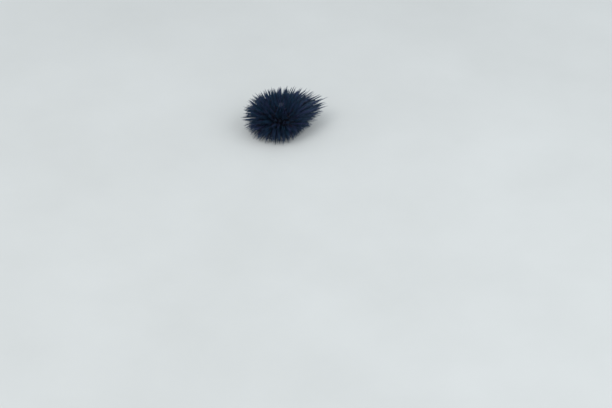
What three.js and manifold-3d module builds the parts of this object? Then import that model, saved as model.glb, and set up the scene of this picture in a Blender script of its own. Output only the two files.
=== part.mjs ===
// Purple sea urchin, life size, standing on the short spines round its mouth.
// Millimetres, +Z up, origin on the floor under the middle of the whole animal.
// The shell is ten meridional sectors, five ambulacra and five interambulacra, each carrying
// its own spines, with the apical disc and periproct on top and the mouth underneath.

import * as THREE from 'three';
import { mergeVertices } from 'three/addons/utils/BufferGeometryUtils.js';
import Module from 'manifold-3d';

const { degToRad } = THREE.MathUtils;

// Shell
const SHELL_RADIUS = 24;
const SHELL_RISE = 15;
const SHELL_DROP = 10;
const SHELL_LIFT = 6.5;
const UPPER_FULLNESS = 2.15;
const LOWER_FULLNESS = 2.7;
const SHELL_SEGMENTS = 40;
const SHELL_RINGS = 12;
const AMBITUS_Z = SHELL_LIFT + SHELL_DROP;
const APEX_Z = AMBITUS_Z + SHELL_RISE;

// Division into sectors
const RAYS = 5;
const RAY_TURN = 360 / RAYS;
const AMBULACRUM_WIDTH = 30;
const INTERAMBULACRUM_WIDTH = RAY_TURN - AMBULACRUM_WIDTH;
const FIRST_RAY = 90;
const PART_GAP = 0.3;
const FAR = 70;
const SIMPLIFY_WITHIN = 0.01;

// Apical disc and periproct, seated in the top of the shell
const DISC_RADIUS = 5.2;
const DISC_CROWN = 0.2;
const PERIPROCT_RADIUS = 2.4;
const TOP_SEAT_DEPTH = 3;
const GENITAL_PLATE_RADIUS = 1.15;
const OCULAR_PLATE_RADIUS = 0.6;
const PLATE_RAISE = 0.35;
const PLATE_ROOT = 0.6;

// Mouth, seated in the underside of the shell
const PERISTOME_RADIUS = 9.4;
const LANTERN_RADIUS = 3.1;
const MOUTH_SEAT_DEPTH = 4;
const MOUTH_LOW = SHELL_LIFT + 1;
const TOOTH_LENGTH = 4.4;
const TOOTH_WIDTH = 0.8;
const TOOTH_THICKNESS = 0.6;
const TOOTH_CIRCLE = 1.75;
const TOOTH_LEAN = 18;

// Spines
const PRIMARY_RADIUS = 0.7;
const SECONDARY_RADIUS = 0.5;
const SPINE_SIDES = 5;
const SPINE_SINK = 1.6;
const WAIST_AT = 0.6;
const WAIST_SHARE = 0.8;
const SPINE_GAP = 0.35;
const BORDER_ROOM = 0.2;
const TOP_LENGTH = 10.5;
const SIDE_LENGTH = 19;
const MOUTH_LENGTH = 7;
const SECONDARY_SHARE = 0.76;
const DISC_SPINE_LENGTH = 7;
const PRIMARY_ROWS = 11;
const SECONDARY_ROWS = 10;
const SECONDARY_LEAST_RING = 12.5;
const RIM_MARGIN = 1.4;

// Columns of spines, in degrees from the middle of their sector
const PRIMARY_COLUMNS = { ambulacrum: [-7.5, 7.5], interambulacrum: [-14, 14, -4.8, 4.8] };
const SECONDARY_COLUMNS = { ambulacrum: [0, -12, 12], interambulacrum: [0, -9.4, 9.4, -18, 18] };

// Pose: the longest spines gather to reach out to one side, and those at the front right are shorter
const FAN_AZIMUTH = 18;
const FAN_RISE = 11;
const FAN_WIDTH = 56;
const FAN_GAIN = 0.88;
const FAN_GATHER = 0.75;
const STRETCH_AZIMUTH = 10;
const STRETCH = 0.1;
const SHORT_AZIMUTH = 338;
const SHORTENING = 0.55;
const SCATTER = 5.5;
const LENGTH_SCATTER = 0.09;
const TRIES = 60;

// Feet: the row of mouth spines that stands on the floor
const STANDING_POLAR = 134;
const FOOT_POLAR = 146;
const STANDING_LEAN = 19;
const FOOT_RADIUS = 0.4;
const FOOT_OVERRUN = 0.8;
const FLOOR_CLEARANCE = 0.9;

// Repeatable random numbers from 0 to 1.
function seeded(seed) {
  let state = seed;
  return () => {
    state = (state + 0x6d2b79f5) | 0;
    let mixed = Math.imul(state ^ (state >>> 15), 1 | state);
    mixed = (mixed + Math.imul(mixed ^ (mixed >>> 7), 61 | mixed)) ^ mixed;
    return ((mixed ^ (mixed >>> 14)) >>> 0) / 4294967296;
  };
}

const random = seeded(1758);
const spread = (size) => (2 * random() - 1) * size;

const wasm = await Module();
wasm.setup();

// A closed geometry as a solid that can be joined and cut.
function solidOf(geometry) {
  const source = geometry.index ? geometry.toNonIndexed() : geometry;
  const bare = new THREE.BufferGeometry().setAttribute('position', source.getAttribute('position'));
  const merged = mergeVertices(bare, 1e-4);
  return new wasm.Manifold(new wasm.Mesh({
    numProp: 3,
    vertProperties: merged.attributes.position.array,
    triVerts: new Uint32Array(merged.index.array),
  }));
}

// A solid back as a geometry, keeping only its largest closed surface.
function geometryOf(solid) {
  const bodies = solid.asOriginal().simplify(SIMPLIFY_WITHIN).decompose();
  const largest = bodies.reduce((a, b) => (b.volume() > a.volume() ? b : a));
  const mesh = largest.getMesh();
  const places = new Float32Array(mesh.numVert * 3);
  for (let i = 0; i < mesh.numVert; i++) {
    places.set(mesh.vertProperties.subarray(i * mesh.numProp, i * mesh.numProp + 3), i * 3);
  }
  const geometry = new THREE.BufferGeometry();
  geometry.setAttribute('position', new THREE.BufferAttribute(places, 3));
  geometry.setIndex(new THREE.BufferAttribute(mesh.triVerts, 1));
  geometry.computeVertexNormals();
  return geometry;
}

// A closed surface of revolution from [radius, height] pairs, running from the lowest to the highest.
function turned(profile, segments = SHELL_SEGMENTS) {
  const points = profile.map(([r, z]) => new THREE.Vector2(r, z));
  return new THREE.LatheGeometry(points, segments).rotateX(Math.PI / 2);
}

// A round plug on the axis between two heights.
function plug(radius, low, high) {
  return solidOf(turned([[0, low], [radius, low], [radius, high], [0, high]]));
}

// Radius and height of the shell at a polar angle from the apex, in degrees.
function shellPoint(polar) {
  const angle = degToRad(polar);
  const across = Math.sin(angle) ** (2 / UPPER_FULLNESS);
  const fullness = polar <= 90 ? UPPER_FULLNESS : LOWER_FULLNESS;
  const along = Math.abs(Math.cos(angle)) ** (2 / fullness);
  const offset = polar <= 90 ? SHELL_RISE * along : -SHELL_DROP * along;
  return [SHELL_RADIUS * across, AMBITUS_Z + offset];
}

// Outward normal of the shell at a polar angle, as [radial, vertical].
function shellNormal(polar) {
  const [r0, z0] = shellPoint(polar - 0.5);
  const [r1, z1] = shellPoint(polar + 0.5);
  const length = Math.hypot(r1 - r0, z1 - z0);
  return [(z0 - z1) / length, (r1 - r0) / length];
}

// The shell as one solid, before it is parted into sectors.
function shellForm() {
  const profile = [[0, APEX_Z]];
  for (let ring = 1; ring < SHELL_RINGS; ring++) {
    profile.push(shellPoint((180 * ring) / SHELL_RINGS));
  }
  profile.push([0, SHELL_LIFT]);
  return solidOf(turned(profile.reverse()));
}

// A wedge from the axis outwards between two azimuths, held back from each by half the gap.
function sectorCutter(middle, width) {
  const half = degToRad(width / 2);
  const inset = PART_GAP / 2 / Math.sin(half);
  const shape = new THREE.Shape();
  shape.moveTo(inset, 0);
  shape.lineTo(inset + FAR * Math.cos(half), -FAR * Math.sin(half));
  shape.lineTo(inset + 1.2 * FAR, 0);
  shape.lineTo(inset + FAR * Math.cos(half), FAR * Math.sin(half));
  shape.closePath();
  const wedge = new THREE.ExtrudeGeometry(shape, { depth: 2 * FAR, bevelEnabled: false });
  return solidOf(wedge.translate(0, 0, -FAR).rotateZ(degToRad(middle)));
}

// Polar angles evenly spaced by arc length down the shell, between two ring radii.
function evenRows(count, topRing, bottomRing, shift) {
  const steps = [];
  let run = 0;
  let [r0, z0] = shellPoint(0.5);
  for (let polar = 1; polar < 180; polar += 0.5) {
    const [r, z] = shellPoint(polar);
    const upper = polar < 90;
    if (r >= (upper ? topRing : bottomRing)) {
      run += Math.hypot(r - r0, z - z0);
      steps.push([run, polar]);
    }
    [r0, z0] = [r, z];
  }
  const whole = steps[steps.length - 1][0];
  return Array.from({ length: count }, (_, row) => {
    const wanted = (whole * (row + 0.5 + shift)) / count;
    const found = steps.find(([along]) => along >= wanted);
    return found ? found[1] : null;
  }).filter((polar) => polar !== null);
}

// Degrees from one azimuth to another, from -180 to 180.
const turnFrom = (centre, azimuth) => ((azimuth - centre + 1260) % 360) - 180;

// How far the spines at a place on the shell join in the fan, 1 where they point along its middle.
function fan(polar, azimuth) {
  const [out, up] = shellNormal(polar);
  const level = out * Math.cos(degToRad(azimuth - FAN_AZIMUTH)) * Math.cos(degToRad(FAN_RISE));
  const apart = Math.acos(Math.min(level + up * Math.sin(degToRad(FAN_RISE)), 1));
  return Math.exp(-((THREE.MathUtils.radToDeg(apart) / FAN_WIDTH) ** 2));
}

// Length of a primary spine at a place on the shell.
function spineLength(polar, azimuth) {
  const swell = Math.sin(degToRad(polar)) ** 1.6;
  const end = polar < 90 ? TOP_LENGTH : MOUTH_LENGTH;
  const stretch = STRETCH * Math.cos(degToRad(2 * (azimuth - STRETCH_AZIMUTH)));
  const short = SHORTENING * Math.max(Math.cos(degToRad(azimuth - SHORT_AZIMUTH)), 0) ** 3;
  const side = FAN_GAIN * fan(polar, azimuth) ** 2 + (stretch - short) * swell;
  return (end + (SIDE_LENGTH - end) * swell) * (1 + side);
}

const radialAt = (azimuth) => new THREE.Vector3(
  Math.cos(degToRad(azimuth)), Math.sin(degToRad(azimuth)), 0);
const UP = new THREE.Vector3(0, 0, 1);
const FAN_WAY = radialAt(FAN_AZIMUTH).multiplyScalar(Math.cos(degToRad(FAN_RISE)))
  .addScaledVector(UP, Math.sin(degToRad(FAN_RISE)));

// Root, direction and length of a spine, with the pose's lean and a random tilt of up to `tilt` degrees.
function spineAt(polar, azimuth, radius, share, tilt) {
  const [ring, height] = shellPoint(polar);
  const [out, up] = shellNormal(polar);
  const radial = radialAt(azimuth);
  const sideways = new THREE.Vector3().crossVectors(UP, radial);
  const root = radial.clone().multiplyScalar(ring).addScaledVector(UP, height);
  const normal = radial.clone().multiplyScalar(out).addScaledVector(UP, up);
  const downhill = new THREE.Vector3().crossVectors(sideways, normal);
  const lean = spread(tilt);
  const drop = spread(tilt);
  const direction = normal.clone().lerp(FAN_WAY, FAN_GATHER * fan(polar, azimuth))
    .addScaledVector(sideways, Math.tan(degToRad(lean)))
    .addScaledVector(downhill, Math.tan(degToRad(drop)))
    .normalize();
  let length = spineLength(polar, azimuth) * share * (1 + spread(LENGTH_SCATTER));
  let blunt = false;
  if (polar > STANDING_POLAR) {
    direction.copy(radial).multiplyScalar(Math.tan(degToRad(STANDING_LEAN + spread(tilt / 2))))
      .addScaledVector(sideways, Math.tan(degToRad(lean / 2))).sub(UP).normalize();
    blunt = share === 1 && polar < FOOT_POLAR;
    length = blunt ? height / -direction.z + FOOT_OVERRUN
      : Math.min(length, (height - FLOOR_CLEARANCE) / -direction.z);
  } else {
    const lowest = (FLOOR_CLEARANCE - height) / length;
    if (direction.z < lowest) {
      const flat = Math.hypot(direction.x, direction.y);
      const kept = Math.sqrt(1 - lowest * lowest) / flat;
      direction.set(direction.x * kept, direction.y * kept, lowest);
    }
  }
  return { root, direction, length, radius, blunt };
}

// Least distance between two spines' surfaces, taking each as a straight taper.
function clearance(a, b) {
  const between = a.root.clone().sub(b.root);
  const along = a.direction.dot(b.direction);
  const da = a.direction.dot(between);
  const db = b.direction.dot(between);
  const denominator = 1 - along * along;
  let s = denominator > 1e-9 ? (along * db - da) / denominator : 0;
  s = THREE.MathUtils.clamp(s, 0, a.length);
  let t = THREE.MathUtils.clamp(along * s + db, 0, b.length);
  s = THREE.MathUtils.clamp(along * t - da, 0, a.length);
  t = THREE.MathUtils.clamp(along * s + db, 0, b.length);
  const gap = between.addScaledVector(a.direction, s).addScaledVector(b.direction, -t).length();
  return Math.min(gap - thickness(a, s) - thickness(b, t), waistGap(a, b), waistGap(b, a));
}

// Distance from a spine's surface at its waist to another spine's surface.
function waistGap(a, b) {
  const waist = WAIST_AT * a.length;
  const from = a.root.clone().addScaledVector(a.direction, waist).sub(b.root);
  const at = THREE.MathUtils.clamp(from.dot(b.direction), 0, b.length);
  return from.addScaledVector(b.direction, -at).length() - thickness(a, waist) - thickness(b, at);
}

// Radius of a spine at a distance along it.
function thickness({ radius, length, blunt }, at) {
  const share = at / length;
  if (blunt) return THREE.MathUtils.lerp(radius, FOOT_RADIUS, share);
  if (radius <= SECONDARY_RADIUS) return radius * (1 - share);
  if (share < WAIST_AT) return THREE.MathUtils.lerp(radius, radius * WAIST_SHARE, share / WAIST_AT);
  return radius * WAIST_SHARE * (1 - (share - WAIST_AT) / (1 - WAIST_AT));
}

// Whether a spine's sunk root stays inside its own sector.
function rootInside({ root, direction, radius }, sector) {
  return [root, root.clone().addScaledVector(direction, -SPINE_SINK)].every((point) => {
    const ring = Math.hypot(point.x, point.y);
    const turn = turnFrom(sector.middle, THREE.MathUtils.radToDeg(Math.atan2(point.y, point.x)));
    return ring * Math.sin(degToRad(sector.width / 2 - Math.abs(turn))) >= radius + BORDER_ROOM;
  });
}

// Adds a spine that fits and keeps clear of those already there, trying again with other tilts.
function grow(spines, make, fits = () => true) {
  for (let attempt = 0; attempt < TRIES; attempt++) {
    const spine = make();
    if (fits(spine) && spines.every((other) => clearance(spine, other) >= SPINE_GAP)) {
      spines.push(spine);
      return spine;
    }
  }
  return null;
}

// One spine as a closed solid, its root sunk into what it grows from.
function spineSolid({ root, direction, length, radius, blunt }) {
  const end = blunt ? FOOT_RADIUS : 0;
  const profile = [[0, -SPINE_SINK], [radius, -SPINE_SINK]];
  if (blunt) profile.push([end, length]);
  else if (radius > SECONDARY_RADIUS) profile.push([radius * WAIST_SHARE, length * WAIST_AT]);
  profile.push([0, length]);
  const turn = new THREE.Quaternion().setFromUnitVectors(UP, direction);
  return solidOf(turned(profile, SPINE_SIDES).applyQuaternion(turn).translate(root.x, root.y, root.z));
}

const spiny = new THREE.MeshStandardMaterial({ color: 0x16142a, roughness: 0.5, metalness: 0 });
const plated = new THREE.MeshStandardMaterial({ color: 0x3a3346, roughness: 0.65, metalness: 0 });
const leathery = new THREE.MeshStandardMaterial({ color: 0x8a7f88, roughness: 0.6, metalness: 0 });
const membrane = new THREE.MeshStandardMaterial({ color: 0x4a3038, roughness: 0.55, metalness: 0 });
const ivory = new THREE.MeshStandardMaterial({ color: 0xe8e2d2, roughness: 0.35, metalness: 0 });

const urchin = new THREE.Group();
urchin.name = 'purple_sea_urchin';

function addPart(name, solid, material) {
  const mesh = new THREE.Mesh(geometryOf(solid), material);
  mesh.name = name;
  urchin.add(mesh);
}

// The ten sectors, in order round the shell.
function sectors() {
  const found = [];
  for (let ray = 0; ray < RAYS; ray++) {
    const middle = FIRST_RAY + ray * RAY_TURN;
    found.push({ kind: 'ambulacrum', ray: ray + 1, middle, width: AMBULACRUM_WIDTH });
    found.push({
      kind: 'interambulacrum', ray: ray + 1, middle: middle + RAY_TURN / 2, width: INTERAMBULACRUM_WIDTH,
    });
  }
  return found;
}

// All spines on the shell, as {sector index, spine}, the primary ones placed first.
function shellSpines(all) {
  const placed = [];
  const owners = [];
  const columns = (offsets, rows, radius, share, leastRing) => {
    all.forEach((sector, index) => {
      offsets[sector.kind].forEach((offset, column) => {
        const top = Math.max(DISC_RADIUS + RIM_MARGIN, leastRing);
        const bottom = Math.max(PERISTOME_RADIUS + RIM_MARGIN, leastRing);
        const shift = (column % 2 ? 0.25 : -0.25);
        for (const polar of evenRows(rows, top, bottom, shift)) {
          const azimuth = sector.middle + offset;
          const make = () => spineAt(polar, azimuth, radius, share, SCATTER);
          const spine = grow(placed, make, (made) => rootInside(made, sector));
          if (spine) owners.push(index);
        }
      });
    });
  };
  columns(PRIMARY_COLUMNS, PRIMARY_ROWS, PRIMARY_RADIUS, 1, 0);
  columns(SECONDARY_COLUMNS, SECONDARY_ROWS, SECONDARY_RADIUS, SECONDARY_SHARE, SECONDARY_LEAST_RING);
  return placed.map((spine, i) => ({ spine, owner: owners[i] }));
}

function buildShell() {
  const all = sectors();
  const spines = shellSpines(all);
  const topSeat = plug(DISC_RADIUS + PART_GAP, APEX_Z - TOP_SEAT_DEPTH, FAR);
  const mouthSeat = plug(PERISTOME_RADIUS + PART_GAP, -FAR, SHELL_LIFT + MOUTH_SEAT_DEPTH);
  const seated = shellForm().subtract(topSeat).subtract(mouthSeat);
  const underFloor = solidOf(new THREE.BoxGeometry(4 * FAR, 4 * FAR, FAR).translate(0, 0, -FAR / 2));
  all.forEach((sector, index) => {
    const piece = seated.intersect(sectorCutter(sector.middle, sector.width));
    const own = spines.filter(({ owner }) => owner === index).map(({ spine }) => spineSolid(spine));
    const joined = wasm.Manifold.union([piece, ...own]).subtract(underFloor);
    addPart(`${sector.kind}_${sector.ray}`, joined, spiny);
  });
  return spines.map(({ spine }) => spine);
}

// A many-sided plate standing on the disc, sunk into it.
function plateSolid(radius, sides, ring, azimuth, top) {
  const plate = new THREE.CylinderGeometry(radius, radius, PLATE_RAISE + PLATE_ROOT, sides);
  const place = radialAt(azimuth).multiplyScalar(ring);
  plate.rotateX(Math.PI / 2).rotateZ(degToRad(azimuth));
  return solidOf(plate.translate(place.x, place.y, top + (PLATE_RAISE - PLATE_ROOT) / 2));
}

// The ring of genital and ocular plates with its few short spines, and the periproct inside it.
function buildApex(placed) {
  const low = APEX_Z - TOP_SEAT_DEPTH + PART_GAP;
  const high = APEX_Z + DISC_CROWN;
  const hole = PERIPROCT_RADIUS + PART_GAP;
  const ring = solidOf(turned([
    [hole, low], [DISC_RADIUS, low], [DISC_RADIUS, high - 0.6], [hole, high], [hole, low],
  ]));
  const pieces = [ring];
  const genitalRing = (hole + DISC_RADIUS) / 2;
  for (let ray = 0; ray < RAYS; ray++) {
    const genital = FIRST_RAY + (ray + 0.5) * RAY_TURN;
    const ocular = FIRST_RAY + ray * RAY_TURN;
    pieces.push(plateSolid(GENITAL_PLATE_RADIUS, 6, genitalRing, genital, high - 0.3));
    pieces.push(plateSolid(OCULAR_PLATE_RADIUS, 5, genitalRing + 0.4, ocular, high - 0.35));
    for (const [azimuth, turn] of [[genital, -7], [genital, 9], [ocular, 0]]) {
      const spine = grow(placed, () => {
        const lean = 12 + spread(SCATTER);
        const radial = radialAt(azimuth + turn);
        const root = radial.clone().multiplyScalar(genitalRing + 0.35).addScaledVector(UP, high - 0.3);
        const direction = radial.clone().multiplyScalar(Math.tan(degToRad(lean))).add(UP).normalize();
        const length = DISC_SPINE_LENGTH * (1 + spread(0.15));
        return { root, direction, length, radius: SECONDARY_RADIUS, blunt: false };
      });
      if (spine) pieces.push(spineSolid(spine));
    }
  }
  addPart('apical_disc', wasm.Manifold.union(pieces), plated);
  const r = PERIPROCT_RADIUS;
  addPart('periproct', solidOf(turned([
    [0, low], [r, low], [r, high - 0.25], [0.6 * r, high + 0.25], [0.28 * r, high + 0.3],
    [0.2 * r, high + 0.8], [0, high + 0.85],
  ], 30)), leathery);
}

// One tooth, a flat tapered blade leaning in to meet the others.
function toothSolid(azimuth) {
  const blade = new THREE.ConeGeometry(TOOTH_WIDTH, TOOTH_LENGTH, 6, 2);
  blade.scale(1, 1, TOOTH_THICKNESS / TOOTH_WIDTH).translate(0, TOOTH_LENGTH / 2, 0);
  blade.rotateZ(degToRad(90)).rotateX(degToRad(90)).rotateY(degToRad(-90));
  blade.rotateY(degToRad(TOOTH_LEAN));
  blade.translate(TOOTH_CIRCLE, 0, MOUTH_LOW + 1.2).rotateZ(degToRad(azimuth));
  return solidOf(blade);
}

// The peristome membrane round the lantern's lip and its five teeth.
function buildMouth() {
  const high = SHELL_LIFT + MOUTH_SEAT_DEPTH - PART_GAP;
  const hole = LANTERN_RADIUS + PART_GAP;
  const middle = (hole + PERISTOME_RADIUS) / 2;
  addPart('peristome', solidOf(turned([
    [hole, high], [hole, MOUTH_LOW + 0.3], [middle, MOUTH_LOW - 0.1], [PERISTOME_RADIUS, MOUTH_LOW + 0.9],
    [PERISTOME_RADIUS, high], [hole, high],
  ])), membrane);
  const lip = solidOf(turned([
    [0, MOUTH_LOW + 0.6], [1.2, MOUTH_LOW + 0.4], [2.2, MOUTH_LOW - 0.2], [2.9, MOUTH_LOW],
    [LANTERN_RADIUS, MOUTH_LOW + 0.6], [LANTERN_RADIUS, high], [0, high],
  ], 30));
  const pieces = [lip];
  for (let ray = 0; ray < RAYS; ray++) {
    pieces.push(toothSolid(FIRST_RAY + (ray + 0.5) * RAY_TURN));
  }
  addPart('lantern_teeth', wasm.Manifold.union(pieces), ivory);
}

const grown = buildShell();
buildApex(grown);
buildMouth();

// The origin moves from the shell's axis to the middle of the whole outline.
const outline = new THREE.Box3().setFromObject(urchin);
const middleOfAll = outline.getCenter(new THREE.Vector3());
for (const part of urchin.children) part.position.set(-middleOfAll.x, -middleOfAll.y, 0);

export default urchin;
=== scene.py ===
"""Looks of a life-size purple sea urchin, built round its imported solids.

All modelling is in millimetres from the shell's axis on the floor; mesh_object turns it into metres.
"""

from math import cos, hypot, radians, sin, sqrt, tan

import bpy
import numpy as np
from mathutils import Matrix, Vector, kdtree


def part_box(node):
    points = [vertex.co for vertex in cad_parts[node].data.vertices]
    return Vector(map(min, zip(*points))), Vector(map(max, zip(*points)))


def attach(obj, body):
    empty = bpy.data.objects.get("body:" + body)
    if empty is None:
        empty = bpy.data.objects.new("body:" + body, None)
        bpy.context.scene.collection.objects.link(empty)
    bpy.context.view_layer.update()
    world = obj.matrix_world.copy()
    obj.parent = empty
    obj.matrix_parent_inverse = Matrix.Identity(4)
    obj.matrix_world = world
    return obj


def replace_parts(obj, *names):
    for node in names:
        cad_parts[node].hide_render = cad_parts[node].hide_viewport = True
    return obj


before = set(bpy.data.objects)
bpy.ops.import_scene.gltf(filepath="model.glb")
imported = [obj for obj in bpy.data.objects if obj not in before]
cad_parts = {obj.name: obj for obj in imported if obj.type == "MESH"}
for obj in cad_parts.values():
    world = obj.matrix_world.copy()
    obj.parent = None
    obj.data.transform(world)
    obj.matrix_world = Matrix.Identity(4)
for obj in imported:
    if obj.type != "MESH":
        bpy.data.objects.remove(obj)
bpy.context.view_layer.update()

MM = 0.001
random = np.random.default_rng(4021)
draw = random.uniform

# Shell, as in the solids
SHELL_RADIUS = 24.0
SHELL_RISE = 15.0
SHELL_DROP = 10.0
SHELL_LIFT = 6.5
UPPER_FULLNESS = 2.15
LOWER_FULLNESS = 2.7
AMBITUS_Z = SHELL_LIFT + SHELL_DROP
APEX_Z = AMBITUS_Z + SHELL_RISE
RAYS = 5
RAY_TURN = 360 / RAYS
FIRST_RAY = 90.0
AMBULACRUM_WIDTH = 30.0
DISC_RADIUS = 5.2
PERIPROCT_RADIUS = 2.4
PERISTOME_RADIUS = 9.4
LANTERN_RADIUS = 3.1
MOUTH_LOW = SHELL_LIFT + 1
PART_GAP = 0.3
SEAM_GAP = 0.08

# Spines, as in the solids
TOP_LENGTH = 10.5
SIDE_LENGTH = 19.0
MOUTH_LENGTH = 7.0
FAN_AZIMUTH = 18.0
FAN_RISE = 11.0
FAN_WIDTH = 56.0
FAN_GAIN = 0.88
FAN_GATHER = 0.75
STRETCH_AZIMUTH = 10.0
STRETCH = 0.1
SWELL_POWER = 1.6
SHORTENING_POWER = 3
SHORT_AZIMUTH = 338.0
SHORTENING = 0.55
STANDING_POLAR = 134.0
STANDING_LEAN = 19.0
PRIMARY_COLUMNS = {"ambulacrum": (-7.5, 7.5), "interambulacrum": (-14, 14, -4.8, 4.8)}
PRIMARY_ROWS = 11
ROW_SHIFT = 0.25
ROW_MARGIN = 1.4
RAY_MIDDLES = FIRST_RAY + np.arange(RAYS) * RAY_TURN
BETWEEN_RAYS = FIRST_RAY + (np.arange(RAYS) + 0.5) * RAY_TURN

# The three kinds of spine: radius at the base of one of the full length given, share of the length
# of the longest ones at its place, random tilt, least gap to the others, room between roots and count
KINDS = {
    "primary": {"radius": 0.68, "full": 20, "share": (0.93, 1.07), "scatter": 5.0, "gap": 0.1},
    "secondary": {
        "radius": 0.5, "full": 17, "share": (0.66, 1.0), "scatter": 8.0, "gap": 0.05,
        "spacing": 1.2, "count": 1610,
    },
    "miliary": {
        "radius": 0.2, "full": 3, "share": (0.2, 0.34), "scatter": 16.0, "gap": -0.05,
        "spacing": 0.85, "count": 1900,
    },
}
SHORT_RADIUS = 0.45
LENGTH_RADIUS = 0.55
RADIUS_SPREAD = (0.85, 1.12)
TRIES = 14
PLACES_PER_SPINE = 60
ROOT_MARGIN = 0.8
FLOOR_CLEARANCE = 0.7
FAR_AWAY = 99.0

# Middle spines lean along the long one nearest to them, so that the coat ends in tufts
TUFTING = 0.65
TUFT_POINT = 1.7

# Radius of a spine along its length, from the flared milled ring at its base to the point
SPINE_PROFILE = (
    (0.0, 0.8), (0.018, 1.0), (0.03, 1.22), (0.045, 1.2), (0.06, 0.95), (0.12, 1.0),
    (0.3, 0.94), (0.5, 0.82), (0.68, 0.65), (0.84, 0.42), (0.95, 0.18), (0.995, 0.06),
)
MILIARY_PROFILE = ((0.0, 0.9), (0.08, 1.3), (0.16, 1.0), (0.6, 0.9), (0.9, 0.8), (1.0, 0.35))
LONG_SIDES = 16
MIDDLE_SIDES = 10
SMALL_SIDES = 6
RIB_DEPTH = 0.07
SMALL_RIB_DEPTH = 0.1
SPINE_SINK = 0.35

# Share of its length where a spine is also tested against the others, besides where they are nearest
WAIST = 0.66

# Spines that end this near the floor and start this low stand on it, on blunt points
STANDING_TIP = 0.15
STANDING_ROOT = SHELL_LIFT + 6
STANDING_POINT = 0.5

# Width of a tuft's patch on the map, and how far the shell's unwrap reaches from its middle
PATCH = 0.003
MAP_REACH = 0.49


def shell_point(polar):
    """Ring radius and height of the shell at polar angles from the apex, in degrees."""
    angle = np.radians(polar)
    full = np.where(np.asarray(polar) <= 90, UPPER_FULLNESS, LOWER_FULLNESS)
    size = np.where(np.asarray(polar) <= 90, SHELL_RISE, -SHELL_DROP)
    ring = SHELL_RADIUS * np.sin(angle) ** (2 / UPPER_FULLNESS)
    return ring, AMBITUS_Z + size * np.abs(np.cos(angle)) ** (2 / full)


def arc_table():
    """Polar angles down the shell, with the length of shell surface run from the apex to each."""
    polar = np.linspace(0.01, 179.99, 3600)
    ring, height = shell_point(polar)
    run = np.concatenate([[0], np.cumsum(np.hypot(np.diff(ring), np.diff(height)))])
    return polar, run, ring


POLAR, RUN, RING = arc_table()
HALF = len(RING) // 2


def run_above(ring):
    """Run of surface from the apex to where the upper half of the shell has this ring radius."""
    return np.interp(ring, RING[:HALF], RUN[:HALF])


def run_below(ring):
    return np.interp(-ring, -RING[HALF:], RUN[HALF:])


def shell_normal(polar):
    """Outward normal of the shell at polar angles, as radial and vertical parts."""
    r0, z0 = shell_point(np.asarray(polar) - 0.5)
    r1, z1 = shell_point(np.asarray(polar) + 0.5)
    size = np.hypot(r1 - r0, z1 - z0)
    return (z0 - z1) / size, (r1 - r0) / size


def radial_at(azimuth):
    a = np.radians(azimuth)
    return np.stack([np.cos(a), np.sin(a), np.zeros_like(a)], axis=-1)


def unit(v):
    return v / np.linalg.norm(v, axis=-1, keepdims=True)


FAN_LEVEL, FAN_UP = cos(radians(FAN_RISE)), sin(radians(FAN_RISE))
FAN_WAY = radial_at(FAN_AZIMUTH) * FAN_LEVEL + (0, 0, FAN_UP)


def fan(polar, azimuth):
    """How far the spines at a place join in the fan of long ones, 1 where they point along its middle."""
    out, up = shell_normal(polar)
    level = out * np.cos(np.radians(azimuth - FAN_AZIMUTH)) * FAN_LEVEL
    apart = np.degrees(np.arccos(np.minimum(level + up * FAN_UP, 1)))
    return np.exp(-((apart / FAN_WIDTH) ** 2))


def full_length(polar, azimuth):
    """Length of the longest spines at a place on the shell."""
    swell = np.sin(np.radians(polar)) ** SWELL_POWER
    end = np.where(polar < 90, TOP_LENGTH, MOUTH_LENGTH)
    stretch = STRETCH * np.cos(np.radians(2 * (azimuth - STRETCH_AZIMUTH)))
    short = SHORTENING * np.maximum(np.cos(np.radians(azimuth - SHORT_AZIMUTH)), 0) ** SHORTENING_POWER
    side = FAN_GAIN * fan(polar, azimuth) ** 2 + (stretch - short) * swell
    return (end + (SIDE_LENGTH - end) * swell) * (1 + side)


def shell_place(polar, azimuth):
    """Point on the shell there, with its normal and the sideways and downhill directions."""
    ring, height = shell_point(polar)
    out, up = shell_normal(polar)
    radial = radial_at(azimuth)
    root = radial * ring
    root[2] = height
    normal = radial * out
    normal[2] = up
    sideways = np.cross((0, 0, 1), radial)
    return root, normal, sideways, np.cross(sideways, normal)


def taper(share):
    """Rough radius of a spine at a share of its length, as a share of its radius at the base."""
    return 1 - 0.95 * share**2.8


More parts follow.
